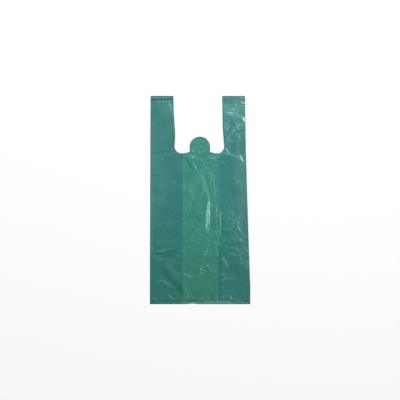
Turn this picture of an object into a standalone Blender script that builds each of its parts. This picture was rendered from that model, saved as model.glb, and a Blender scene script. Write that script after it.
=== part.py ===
# Vest carrier bag of blown green film, lying flat on its back panel.
# +X runs across the bag, +Y towards the handles and +Z up through the layers of film.
# One piece: a film tube with a gusset folded into each side, welded across both ends,
# with the mouth and its hanging tab die cut through every layer.

import math

import bmesh
import bpy
from mathutils import Vector
from mathutils.geometry import delaunay_2d_cdt

# Driving dimensions of the bag, in metres
BAG_LENGTH = 0.5300
TUBE_WIDTH = 0.2558            # across the flat tube, fold to fold, at the bottom
FILM = 0.00003                 # gauge of the film
LEFT_GUSSET = 0.0832           # from the left outer fold to the fold inside
RIGHT_GUSSET = 0.0762
HANDLE_WIDTH = 0.0583
MOUTH_DEPTH = 0.1460           # from the handle tops down to the lip
MOUTH_CORNER = 0.0175          # radius where a handle runs into the lip
LIP_RISE = 0.0032              # the lip curves up this much from the corner to the tab
TAB_DIAMETER = 0.0520
TAB_HEIGHT = 0.0422            # top of the tab above the lowest part of the lip
TAB_FILLET = 0.0018
TAB_OFFSET = -0.0006           # the die sits this far off the bag's centreline

# Welds and the skirts of film outside them
BOTTOM_WELD_INSET = 0.0060     # weld line to the bottom edge
TOP_WELD_INSET = 0.0076
WELD_WIDTH = 0.0018
WELD_BEAD = 0.0004             # melted bead past the folds at each end of a weld
WELD_PROUD = 0.00003           # weld bar above the layers that it joins
NICK_WIDTH = 0.0240            # shallow bite out of the bottom edge
NICK_DEPTH = 0.0015
NICK_OFFSET = -0.0195

# How the bag lies: the layers apart, and the edges drawn in by the creases
LAYER_LIFT = 0.00055           # from one layer of film to the next, in the gussets
CENTRE_LIFT = 0.00080          # front panel above the back panel, between the gussets
STEP_RUN = 0.0070              # slope from a gusset down to the centre
SQUEEZE = 0.12                 # share of the lift that is left at the welds
SKIRT_LIFT = 0.30              # share of the lift at the cut edge outside a weld
TAPER_RUN = 0.0300             # length over which the layers close up to a weld
LEFT_DRAW_IN = 0.0018
RIGHT_DRAW_IN = 0.0135
DRAW_BOW = 0.35
FLARE_START = 0.0425           # the right edge is straight up to here
FOLD_LEAN = 0.0018             # the right inner fold leans in towards the top
LEFT_HANDLE_SPREAD = 0.0046    # the left strap is pulled wide at its waist
RIGHT_HANDLE_PINCH = 0.0030    # the right strap is gathered at its root
WAIST_HEIGHT = 0.0440          # waist of the left strap above the lip
WAIST_RUN = 0.0500

# Swelling of the front panel, and the pleats beside the welds
SIDE_SWELL = 0.0016
CENTRE_SWELL = 0.0012
HANDLE_SWELL = 0.45            # share of the side swell in the straps
PUCKER_PITCH = 0.0110
PUCKER_HEIGHT = 0.00045
PUCKER_PEAK = 0.0055           # highest this far from the weld
PUCKER_END = 0.0160
EDGE_RUN = 0.0090              # the panel turns down to its outer folds over this width

# Long shallow waves of the film: height, wave length, direction in degrees from across
WAVES = (
    (0.00028, 0.083, 24.0),
    (0.00024, 0.061, 151.0),
    (0.00020, 0.047, 78.0),
)

# Creases pressed into the front panel: height, half width, then the points on the ridge,
# as shares of half the width and half the length from the middle of the bag
CREASES = (
    (0.0019, 0.0050, ((-0.130, 0.375), (-0.027, 0.274), (0.075, 0.202), (0.118, 0.091),
                      (0.176, -0.009), (0.170, -0.150), (0.142, -0.307))),
    (0.0010, 0.0040, ((0.017, 0.394), (0.089, 0.317), (0.122, 0.230))),
    (0.0007, 0.0040, ((-0.120, 0.462), (0.000, 0.446), (0.110, 0.458))),
    (0.0008, 0.0035, ((0.335, 0.116), (0.338, -0.200), (0.330, -0.528))),
    (0.0009, 0.0040, ((-0.319, 0.150), (-0.220, 0.105), (-0.120, 0.050))),
    (0.0010, 0.0040, ((0.140, -0.430), (0.090, -0.560), (0.019, -0.691), (0.030, -0.780))),
    (0.0012, 0.0060, ((-0.950, -0.499), (-0.797, -0.528), (-0.598, -0.499), (-0.385, -0.518))),
    (0.0013, 0.0060, ((-0.817, -0.768), (-0.638, -0.807), (-0.520, -0.850), (-0.439, -0.912))),
    (0.0008, 0.0045, ((-0.916, 0.459), (-0.790, 0.452), (-0.658, 0.459))),
    (0.0008, 0.0045, ((-0.660, 0.950), (-0.615, 0.915), (-0.610, 0.860))),
    (0.0012, 0.0045, ((0.490, 0.841), (0.602, 0.829), (0.785, 0.819), (0.860, 0.788))),
    (0.0012, 0.0045, ((0.495, 0.721), (0.662, 0.692), (0.790, 0.708), (0.860, 0.740))),
    (0.0010, 0.0040, ((0.600, 0.628), (0.740, 0.650), (0.865, 0.682))),
    (0.0010, 0.0040, ((0.510, 0.519), (0.690, 0.548), (0.865, 0.561))),
    (0.0015, 0.0050, ((0.460, 0.452), (0.632, 0.429), (0.799, 0.414), (0.875, 0.363))),
    (0.0008, 0.0040, ((0.723, 0.010), (0.820, -0.060), (0.900, -0.144))),
    (0.0008, 0.0040, ((0.739, -0.249), (0.830, -0.300), (0.910, -0.350))),
    (0.0011, 0.0045, ((0.449, -0.552), (0.520, -0.585), (0.545, -0.650))),
    (0.0011, 0.0045, ((0.600, -0.512), (0.680, -0.516), (0.753, -0.535))),
    (0.0010, 0.0045, ((0.707, -0.588), (0.830, -0.606), (0.934, -0.605))),
)
CREASE_MARGIN = 0.0040         # creases stay this far inside the outer folds

# Fineness of the facets
PANEL_PITCH = 0.0135
ROW_PITCH = 0.0220
CREASE_PITCH = 0.0120
FOLD_FACETS = 3
TAB_FACETS = 40
CORNER_FACETS = 9
SIDE_FACETS = 12
LIP_FACETS = 4
FILLET_FACETS = 3
NICK_FACETS = 10

FILM_COLOUR = (0.050, 0.217, 0.181, 1.0)
FILM_ROUGHNESS = 0.38
FILM_IOR = 1.54

# Places worked out from the driving dimensions
TOP = BAG_LENGTH / 2
BOTTOM = -BAG_LENGTH / 2
HALF_WIDTH = TUBE_WIDTH / 2
LIP = TOP - MOUTH_DEPTH
TOP_WELD = TOP - TOP_WELD_INSET
BOTTOM_WELD = BOTTOM + BOTTOM_WELD_INSET
TAB_RADIUS = TAB_DIAMETER / 2
TAB_CENTRE = LIP + TAB_HEIGHT - TAB_RADIUS
BACK_LEVEL = FILM / 2
FOLD_RADIUS = LAYER_LIFT / 2


def clear_scene():
    for item in list(bpy.data.objects):
        bpy.data.objects.remove(item, do_unlink=True)


def ease(share):
    """Smooth rise from 0 to 1."""
    share = min(max(share, 0.0), 1.0)
    return share * share * (3.0 - 2.0 * share)


def left_edge(y):
    return -HALF_WIDTH + LEFT_DRAW_IN * (y - BOTTOM) / BAG_LENGTH


def right_edge(y):
    """The creases of the right side draw its edge in, more and more towards the handle."""
    share = max(0.0, (y - BOTTOM - FLARE_START) / (BAG_LENGTH - FLARE_START))
    return HALF_WIDTH - RIGHT_DRAW_IN * share * (1.0 + DRAW_BOW * (1.0 - share))


def left_inner_fold(y):
    return -HALF_WIDTH + LEFT_GUSSET


def right_inner_fold(y):
    return HALF_WIDTH - RIGHT_GUSSET - FOLD_LEAN * (y - BOTTOM) / BAG_LENGTH


def left_strap_edge(y):
    """Cut edge of the left handle: widest at its waist."""
    from_waist = (y - LIP - WAIST_HEIGHT) / WAIST_RUN
    return left_edge(y) + HANDLE_WIDTH + LEFT_HANDLE_SPREAD * math.exp(-from_waist * from_waist)


def right_strap_edge(y):
    """Cut edge of the right handle: narrowest at its root."""
    from_root = 1.0 - (y - LIP) / MOUTH_DEPTH
    return right_edge(y) - HANDLE_WIDTH + RIGHT_HANDLE_PINCH * ease(2.0 * from_root - 1.0)


def past_weld(y):
    """Distance from the nearer weld: into the bag, or negative out to the cut edge."""
    nearer = BOTTOM_WELD if y < 0.0 else TOP_WELD
    apart = max(0.0, abs(y - nearer) - WELD_WIDTH / 2)
    return apart if BOTTOM_WELD < y < TOP_WELD else -apart


def openness(y):
    """0 at a weld and in the skirt outside it, 1 where the bag has its full thickness."""
    return ease(past_weld(y) / TAPER_RUN)


def fullness(y):
    """Share of the lift between the layers, which close up to the weld at each end."""
    inset = BOTTOM_WELD_INSET if y < 0.0 else TOP_WELD_INSET
    skirt = ease(-past_weld(y) / (inset - WELD_WIDTH / 2))
    return SQUEEZE + (1.0 - SQUEEZE) * openness(y) + (SKIRT_LIFT - SQUEEZE) * skirt


def layer_level(y, layer):
    """Height of a layer of film at y: 0 is the back panel and 3 the front panel."""
    return BACK_LEVEL + layer * LAYER_LIFT * fullness(y)


def station_rows():
    """Places along the bag where its section is set, closer together beside the welds."""
    half = WELD_WIDTH / 2
    near = (-half, half, half + PUCKER_PEAK, half + PUCKER_END, half + TAPER_RUN)
    rows = [BOTTOM] + [BOTTOM_WELD + run for run in near]
    start = rows[-1]
    end = TOP_WELD - near[-1]
    steps = max(1, round((end - start) / ROW_PITCH))
    rows += [start + (end - start) * step / steps for step in range(1, steps)]
    rows += [TOP_WELD - run for run in reversed(near)] + [TOP]
    return rows


def smooth_path(points, pitch):
    """Catmull-Rom curve through the points, with a point every pitch or closer."""
    points = [Vector(point) for point in points]
    ends = [2 * points[0] - points[1]] + points + [2 * points[-1] - points[-2]]
    path = []
    for before, start, end, after in zip(ends, ends[1:], ends[2:], ends[3:]):
        steps = max(1, math.ceil((end - start).length / pitch))
        for step in range(steps):
            t = step / steps
            bend = (2 * before - 5 * start + 4 * end - after) * t * t
            turn = (3 * start - before - 3 * end + after) * t * t * t
            path.append((2 * start + (end - before) * t + bend + turn) / 2)
    path.append(points[-1])
    return path


class Crease:
    """A ridge in the front panel that fades out at both ends."""

    def __init__(self, height, half_width, shares):
        self.height = height
        self.half_width = half_width
        places = []
        for across, along in shares:
            y = along * TOP
            x = across * HALF_WIDTH
            x = max(left_edge(y) + CREASE_MARGIN, min(right_edge(y) - CREASE_MARGIN, x))
            places.append((x, y))
        self.path = smooth_path(places, CREASE_PITCH)
        self.last = len(self.path) - 1

    def fade(self, place):
        """1 in the middle of the crease and 0 at its ends."""
        return math.sin(math.pi * place / self.last) ** 0.6 if 0 < place < self.last else 0.0

    def flank(self, side):
        """The line along which one side of the crease meets the panel."""
        line = [self.path[0]]
        for index in range(1, self.last):
            along = (self.path[index + 1] - self.path[index - 1]).normalized()
            out = Vector((-along.y, along.x)) * self.half_width * self.fade(index)
            line.append(self.path[index] + side * out)
        return line + [self.path[-1]]

    def rise(self, point):
        """Height of the crease above the panel at a point."""
        best = 0.0
        for index in range(self.last):
            start = self.path[index]
            run = self.path[index + 1] - start
            share = min(max((point - start).dot(run) / run.length_squared, 0.0), 1.0)
            fade = self.fade(index + share)
            if fade > 0.0:
                apart = (point - start - run * share).length
                best = max(best, fade * (1.0 - apart / (self.half_width * fade)))
        return self.height * best


def swell(x, y):
    """Soft rounding of the front panel over the gussets and between them."""
    left, right = left_edge(y), right_edge(y)
    left_fold, right_fold = left_inner_fold(y), right_inner_fold(y)
    if x < left_fold:
        side = math.sin(math.pi * max(0.0, x - left) / (left_fold - left))
    elif x > right_fold:
        side = math.sin(math.pi * max(0.0, right - x) / (right - right_fold))
    else:
        return CENTRE_SWELL * math.sin(math.pi * (x - left_fold) / (right_fold - left_fold))
    in_strap = ease((y - LIP) / MOUTH_CORNER + 0.5)
    return SIDE_SWELL * side * (1.0 + (HANDLE_SWELL - 1.0) * in_strap)


def wave(x, y):
    """Long shallow waves, never below the level of a flat panel."""
    total = 0.0
    for height, length, direction in WAVES:
        angle = math.radians(direction)
        along = x * math.cos(angle) + y * math.sin(angle)
        total += height * (1.0 + math.sin(2.0 * math.pi * along / length))
    return total


def pucker(x, y):
    """Pleats beside the welds: a triangle wave across the bag, strongest near the weld."""
    inside = past_weld(y)
    strength = min(inside / PUCKER_PEAK, (PUCKER_END - inside) / (PUCKER_END - PUCKER_PEAK))
    pleat = abs((x / PUCKER_PITCH) % 1.0 - 0.5) * 2.0
    return PUCKER_HEIGHT * max(0.0, strength) * pleat


def front_level(point, creases):
    """Height of the front panel, which rests on the gussets and steps down between them."""
    x, y = point
    past_fold = min(x - left_inner_fold(y), right_inner_fold(y) - x)
    down = ease((past_fold - 2 * FOLD_RADIUS) / STEP_RUN)
    lift = 3 * LAYER_LIFT + (CENTRE_LIFT - 3 * LAYER_LIFT) * down
    inside = min(x - left_edge(y), right_edge(y) - x) - FOLD_RADIUS
    if inside <= 1e-7:
        return layer_level(y, 3)
    near_edge = min(1.0, inside / CREASE_MARGIN)
    ridge = max(crease.rise(point) for crease in creases)
    relief = pucker(x, y) + openness(y) * (ridge + wave(x, y))
    return BACK_LEVEL + fullness(y) * lift + openness(y) * swell(x, y) + near_edge * relief


def front_boundary(y):
    """Where the front panel turns into its outer folds."""
    radius = FOLD_RADIUS * fullness(y)
    return left_edge(y) + radius, right_edge(y) - radius


def front_panel(rows, creases):
    """Points and triangles of the front panel, with an edge along every fold and crease."""
    points = []
    lines = []

    def add_line(places):
        first = len(points)
        points.extend(Vector(place) for place in places)
        lines.extend((first + step, first + step + 1) for step in range(len(places) - 1))

    # The outer folds, and rows of points across the panel beside the welds
    cross_rows = [y for y in rows if fullness(y) < 1.0]
    left_side = [(front_boundary(y)[0], y) for y in rows]
    right_side = [(front_boundary(y)[1], y) for y in rows]
    add_line(left_side)
    add_line(right_side)
    for y in cross_rows:
        left, right = front_boundary(y)
        half_pleats = PUCKER_PITCH / 2
        first = math.ceil((left + CREASE_MARGIN) / half_pleats)
        last = math.floor((right - CREASE_MARGIN) / half_pleats)
        stride = 1 if pucker(0.0, y) > PUCKER_HEIGHT / 2 else 2
        inner = [(step * half_pleats, y) for step in range(first, last + 1, stride)]
        add_line([(left, y)] + inner + [(right, y)])

    # The edges of the panel, and the slopes from the gussets to the centre
    plain_rows = [y for y in rows if fullness(y) >= 1.0]
    add_line([(left_edge(y) + EDGE_RUN, y) for y in plain_rows])
    add_line([(right_edge(y) - EDGE_RUN, y) for y in plain_rows])
    for fold, way in ((left_inner_fold, 1), (right_inner_fold, -1)):
        for run in (2 * FOLD_RADIUS, 2 * FOLD_RADIUS + STEP_RUN):
            add_line([(fold(y) + way * run, y) for y in plain_rows])

    for crease in creases:
        add_line(crease.path)
        add_line(crease.flank(1))
        add_line(crease.flank(-1))

    # Even points between them, clear of every line
    segments = [(points[start], points[end]) for start, end in lines]
    filler = []
    row_step = PANEL_PITCH * math.sqrt(3.0) / 2
    row_count = int((plain_rows[-1] - plain_rows[0]) / row_step)
    for row in range(1, row_count + 1):
        y = plain_rows[0] + row * row_step
        left, right = front_boundary(y)
        columns = int((right - left) / PANEL_PITCH)
        for column in range(1, columns + 1):
            point = Vector((left + (column - 0.5 * (row % 2)) * PANEL_PITCH, y))
            if all(distance_to(point, segment) > PANEL_PITCH * 0.42 for segment in segments):
                filler.append(point)
    points.extend(filler)

    made = delaunay_2d_cdt(points, lines, [], 1, 1e-6)
    return made[0], made[2]


def distance_to(point, segment):
    start, end = segment
    run = end - start
    share = min(max((point - start).dot(run) / run.length_squared, 0.0), 1.0)
    return (point - start - run * share).length


def fold_arc(x, y, lower, upper, way):
    """Points round a fold at x from the upper layer to the lower one, bulging way."""
    middle = (lower + upper) / 2
    radius = (upper - lower) / 2
    arc = []
    for step in range(FOLD_FACETS + 1):
        angle = math.pi * (0.5 - step / FOLD_FACETS)
        arc.append(Vector((x + way * radius * (math.cos(angle) - 1.0), y,
                           middle + radius * math.sin(angle))))
    return arc


def gusset_section(y, outer, inner, way):
    """One gusset at y: outer fold, front leaf, inner fold, back leaf, outer fold."""
    back, back_leaf, front_leaf, front = [layer_level(y, layer) for layer in range(4)]
    section = fold_arc(outer, y, front_leaf, front, way)
    section += fold_arc(inner, y, back_leaf, front_leaf, -way)
    section += fold_arc(outer, y, back, back_leaf, way)
    return section


def tube_section(y):
    """The tube at y from the right end of the front panel round to its left end."""
    right = gusset_section(y, right_edge(y), right_inner_fold(y), 1)
    left = gusset_section(y, left_edge(y), left_inner_fold(y), -1)
    return right + left[::-1]


def film_surface():
    """The whole tube as one sheet without thickness."""
    rows = station_rows()
    creases = [Crease(*crease) for crease in CREASES]
    mesh = bmesh.new()
    flat_points, triangles = front_panel(rows, creases)
    corners = [mesh.verts.new((point.x, point.y, front_level(point, creases)))
               for point in flat_points]
    for triangle in triangles:
        mesh.faces.new([corners[index] for index in triangle])
    sections = [[mesh.verts.new(point) for point in tube_section(y)] for y in rows]
    for lower, upper in zip(sections, sections[1:]):
        for index in range(len(lower) - 1):
            mesh.faces.new((lower[index], lower[index + 1], upper[index + 1], upper[index]))
    bmesh.ops.remove_doubles(mesh, verts=mesh.verts, dist=2e-6)
    bmesh.ops.recalc_face_normals(mesh, faces=mesh.faces)
    return mesh


def mouth_side(strap_edge, way):
    """Half of the mouth's outline: down a strap, round the corner, along the lip, up the tab."""
    corner_top = LIP + MOUTH_CORNER
    run_out = 2 * WELD_BEAD
    points = []
    for step in range(SIDE_FACETS):
        y = TOP + run_out + (corner_top - TOP - run_out) * step / SIDE_FACETS
        points.append((strap_edge(y), y))
    side = strap_edge(corner_top)
    for step in range(CORNER_FACETS + 1):
        angle = 0.5 * math.pi * step / CORNER_FACETS
        points.append((side - way * MOUTH_CORNER * (1.0 - math.cos(angle)),
                       corner_top - MOUTH_CORNER * math.sin(angle)))
    corner_end = side - way * MOUTH_CORNER
    tab_side = TAB_OFFSET + way * TAB_RADIUS
    lip_end = tab_side + way * TAB_FILLET
    for step in range(1, LIP_FACETS):
        share = step / LIP_FACETS
        points.append((corner_end + (lip_end - corner_end) * share, LIP + LIP_RISE * share ** 2))
    for step in range(FILLET_FACETS + 1):
        angle = 0.5 * math.pi * step / FILLET_FACETS
        points.append((tab_side + way * TAB_FILLET * (1.0 - math.sin(angle)),
                       LIP + LIP_RISE + TAB_FILLET * (1.0 - math.cos(angle))))
    return points


def mouth_outline():
    left = mouth_side(left_strap_edge, -1)
    right = mouth_side(right_strap_edge, 1)
    tab = []
    for step in range(TAB_FACETS + 1):
        angle = math.pi * (1.0 - step / TAB_FACETS)
        tab.append((TAB_OFFSET + TAB_RADIUS * math.cos(angle),
                    TAB_CENTRE + TAB_RADIUS * math.sin(angle)))
    return left + tab + right[::-1]


def nick_outline():
    """A shallow bite in the bottom edge, closed below the bag."""
    points = [(NICK_OFFSET + NICK_WIDTH / 2, BOTTOM - NICK_DEPTH)]
    points.append((NICK_OFFSET - NICK_WIDTH / 2, BOTTOM - NICK_DEPTH))
    for step in range(NICK_FACETS + 1):
        share = step / NICK_FACETS
        points.append((NICK_OFFSET + NICK_WIDTH * (share - 0.5),
                       BOTTOM + NICK_DEPTH * (math.sin(math.pi * share) - 0.1)))
    return points


def helper(name, mesh):
    """An object that only cuts or joins the film, and isn't part of the bag."""
    data = bpy.data.meshes.new(name)
    mesh.to_mesh(data)
    mesh.free()
    tool = bpy.data.objects.new(name, data)
    bpy.context.collection.objects.link(tool)
    tool.hide_render = True
    tool.display_type = 'WIRE'
    return tool


def prism(name, outline, low, high):
    """A closed block with the outline as its plan."""
    mesh = bmesh.new()
    base = mesh.faces.new([mesh.verts.new((x, y, low)) for x, y in outline])
    raised = bmesh.ops.extrude_face_region(mesh, geom=[base])['geom']
    top = [item for item in raised if isinstance(item, bmesh.types.BMVert)]
    bmesh.ops.translate(mesh, vec=(0.0, 0.0, high - low), verts=top)
    bmesh.ops.recalc_face_normals(mesh, faces=mesh.faces)
    return helper(name, mesh)


def weld_bar(name, y):
    """The strip where the hot bar fused all the layers, a bead wider than the tube."""
    left, right = left_edge(y) - WELD_BEAD, right_edge(y) + WELD_BEAD
    half = WELD_WIDTH / 2
    outline = ((left, y - half), (right, y - half), (right, y + half), (left, y + half))
    return prism(name, outline, FILM / 3, layer_level(y, 3) + FILM / 2 + WELD_PROUD)


def film_material():
    material = bpy.data.materials.new('green_film')
    material.use_nodes = True
    shader = material.node_tree.nodes['Principled BSDF']
    shader.inputs['Base Color'].default_value = FILM_COLOUR
    shader.inputs['Roughness'].default_value = FILM_ROUGHNESS
    shader.inputs['Metallic'].default_value = 0.0
    shader.inputs['IOR'].default_value = FILM_IOR
    material.diffuse_color = FILM_COLOUR
    return material


def add_boolean(bag, tool, operation):
    cut = bag.modifiers.new(tool.name, 'BOOLEAN')
    cut.operation = operation
    cut.object = tool
    cut.solver = 'EXACT'


def build_bag():
    surface = film_surface()
    data = bpy.data.meshes.new('carrier_bag')
    surface.to_mesh(data)
    surface.free()
    bag = bpy.data.objects.new('carrier_bag', data)
    bpy.context.collection.objects.link(bag)
    data.materials.append(film_material())
    gauge = bag.modifiers.new('film', 'SOLIDIFY')
    gauge.thickness = FILM
    gauge.offset = 0.0
    reach = BAG_LENGTH / 4
    add_boolean(bag, weld_bar('bottom_weld', BOTTOM_WELD), 'UNION')
    add_boolean(bag, weld_bar('top_weld', TOP_WELD), 'UNION')
    add_boolean(bag, prism('mouth_die', mouth_outline(), -reach, reach), 'DIFFERENCE')
    add_boolean(bag, prism('edge_nick', nick_outline(), -reach, reach), 'DIFFERENCE')
    data.shade_smooth()
    data.set_sharp_from_angle(angle=math.radians(30.0))
    return bag


clear_scene()
build_bag()
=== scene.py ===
import math

import bmesh
import bpy
import numpy as np
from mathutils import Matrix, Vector
from mathutils.bvhtree import BVHTree
from mathutils.geometry import delaunay_2d_cdt
from mathutils.kdtree import KDTree


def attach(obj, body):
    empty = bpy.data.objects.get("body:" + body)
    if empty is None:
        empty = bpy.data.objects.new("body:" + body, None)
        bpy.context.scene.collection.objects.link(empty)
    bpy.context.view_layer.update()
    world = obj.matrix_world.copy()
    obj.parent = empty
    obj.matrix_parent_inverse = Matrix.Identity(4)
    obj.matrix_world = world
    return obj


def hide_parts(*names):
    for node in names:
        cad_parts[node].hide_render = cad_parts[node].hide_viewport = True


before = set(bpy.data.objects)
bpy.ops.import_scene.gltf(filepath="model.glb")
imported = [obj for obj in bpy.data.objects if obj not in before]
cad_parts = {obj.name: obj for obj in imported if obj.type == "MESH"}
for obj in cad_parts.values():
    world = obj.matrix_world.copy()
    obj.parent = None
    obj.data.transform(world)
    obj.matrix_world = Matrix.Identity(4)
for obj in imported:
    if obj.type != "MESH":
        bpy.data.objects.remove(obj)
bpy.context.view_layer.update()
mm = 0.001
far = 1.0       # beyond the bag on every side

# plan of the bag: the sizes of the solid that this piece stands for
bag = dict(
    length=0.5300, tubeWidth=0.2558,
    leftGusset=0.0832, rightGusset=0.0762,
    handleWidth=0.0583, mouthDepth=0.1460, mouthCorner=0.0175,
    lipRise=0.0032, tabDiameter=0.0520, tabHeight=0.0422, tabFillet=0.0018, tabOffset=-0.0006,
    bottomWeldInset=0.0060, topWeldInset=0.0076, weldWidth=0.0018,
    nickWidth=0.0240, nickDepth=0.0015, nickOffset=-0.0195, nickShallow=0.1,
    leftDrawIn=0.0018, rightDrawIn=0.0135, drawBow=0.35, flareStart=0.0425, foldLean=0.0018,
    leftSpread=0.0046, rightPinch=0.0030, waistHeight=0.0440, waistRun=0.0500,
)
top = bag["length"] / 2
bottom = -top
halfWidth = bag["tubeWidth"] / 2
lip = top - bag["mouthDepth"]
topWeld = top - bag["topWeldInset"]
bottomWeld = bottom + bag["bottomWeldInset"]
tabRadius = bag["tabDiameter"] / 2
tabCentre = lip + bag["tabHeight"] - tabRadius

# how the layers lie one on the other
lay = dict(
    film=0.00003, layerLift=0.00055, centreLift=0.00080, stepRun=0.0070,
    squeeze=0.12, skirtLift=0.30, taperRun=0.0480,
    sideSwell=0.0014, rightSwell=0.6, centreSwell=0.0012, handleSwell=0.35,
    leftMargin=0.0200, rightMargin=0.0360, hemShare=0.12, hemRun=2.0 * mm,
)
backLevel = lay["film"] / 2
foldRadius = lay["layerLift"] / 2

# how finely the film is meshed, and how near a point may come to a cut edge
grid = dict(
    front=0.00145, back=0.0034, leaf=0.0075, fold=0.0033, foldFacets=5,
    frontEdge=2.0 * mm, backEdge=3.4 * mm, leafEdge=6.0 * mm, clear=0.55, margin=0.0005, weld=2e-6,
    strapPoints=86, cornerPoints=17, lipPoints=15, filletPoints=4, tabPoints=50,
    emptyAbove=0.012, besideTab=0.004, emptyTop=0.06, emptyHalf=0.055,
)


def ease(share):
    share = np.clip(share, 0.0, 1.0)
    return share * share * (3.0 - 2.0 * share)


def leftEdge(y):
    return -halfWidth + bag["leftDrawIn"] * (y - bottom) / bag["length"]


def rightEdge(y):
    share = np.maximum(0.0, (y - bottom - bag["flareStart"]) / (bag["length"] - bag["flareStart"]))
    return halfWidth - bag["rightDrawIn"] * share * (1.0 + bag["drawBow"] * (1.0 - share))


def leftFold(y):
    return -halfWidth + bag["leftGusset"] + 0.0 * y     # upright, so the same at every y


def rightFold(y):
    return halfWidth - bag["rightGusset"] - bag["foldLean"] * (y - bottom) / bag["length"]


def leftStrap(y):
    fromWaist = (y - lip - bag["waistHeight"]) / bag["waistRun"]
    return leftEdge(y) + bag["handleWidth"] + bag["leftSpread"] * np.exp(-fromWaist * fromWaist)


def rightStrap(y):
    fromRoot = 1.0 - (y - lip) / bag["mouthDepth"]
    return rightEdge(y) - bag["handleWidth"] + bag["rightPinch"] * ease(2.0 * fromRoot - 1.0)


# outer edge, inner fold and cut edge of each side, by the way that it faces
sideLines = {-1: (leftEdge, leftFold, leftStrap), 1: (rightEdge, rightFold, rightStrap)}


def pastWeld(y):
    # distance into the bag from the nearer weld, and below 0 in the skirt
    nearer = np.where(y < 0.0, bottomWeld, topWeld)
    apart = np.maximum(0.0, np.abs(y - nearer) - bag["weldWidth"] / 2)
    return np.where((y > bottomWeld) & (y < topWeld), apart, -apart)


def openness(y):
    return ease(pastWeld(y) / lay["taperRun"])


def fullness(y):
    # share of the lift between the layers: pressed close at a weld, a little apart in the skirt
    inset = np.where(y < 0.0, bag["bottomWeldInset"], bag["topWeldInset"])
    skirt = ease(-pastWeld(y) / (inset - bag["weldWidth"] / 2))
    return lay["squeeze"] + (1.0 - lay["squeeze"]) * openness(y) + (lay["skirtLift"] - lay["squeeze"]) * skirt


def layerLevel(y, layer):
    return backLevel + layer * lay["layerLift"] * fullness(y)


# relief of the panels: long waves, flat facets between faint folds, and the pleats at the welds
relief = dict(
    waves=((0.20, 83.0, 24.0), (0.16, 61.0, 151.0), (0.12, 47.0, 78.0)),      # mm high, mm long, degrees
    # areas in mm: left, right, low, high, facet across, facet along, highest knot
    broadFacets=(
        (-128, -48, -262, 100, 26, 30, 0.50), (-48, 50, -262, 112, 15, 34, 0.60),
        (50, 128, -262, -40, 18, 22, 0.85), (50, 128, -40, 108, 24, 30, 0.22),
        (-128, -66, 118, 262, 22, 34, 0.35), (56, 116, 116, 262, 17, 15, 1.00),
    ),
    smallFacets=(
        (-128, -48, -262, -60, 10, 12, 0.60), (-128, -48, -60, 262, 12, 14, 0.16),
        (-48, 50, -262, -90, 7, 9, 0.58), (-48, 50, -90, 160, 8, 14, 0.34),
        (50, 128, -262, -30, 8, 9, 0.68), (50, 128, -30, 108, 10, 13, 0.15), (56, 116, 108, 262, 8, 8, 0.55),
    ),
    backFacets=((-128, 128, -262, 262, 17, 26, 0.45),),
    facetJitter=0.34, facetBorder=(150.0, 290.0), broadSeed=31, smallSeed=32, backSeed=33,
    backTurn=60.0, backShare=0.3, backHighest=0.42,
    pleatHeight=0.34, pleatLength=7.4, skirtPleat=0.22,         # in mm
    pleatPeak=3.5 * mm, pleatEnd=11.0 * mm, skirtRun=4.0 * mm,  # from the weld line
    pleatDrift=0.45, pleatSeed=5, pleatSizeSeed=6,
    ridge=0.45, fineRidge=0.25, ridgeSink=0.4, creaseFade=0.6, leastWidth=0.05,     # a crease
    # how pale a ridge turns, partly whitened film and partly painted highlight
    creasePaleAndHighlight=0.16, paleReach=1.5,
    markTaper=2.4, markEnd=0.35, markBlur=1.2, markReach=2.0,                       # a mark
)

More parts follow.
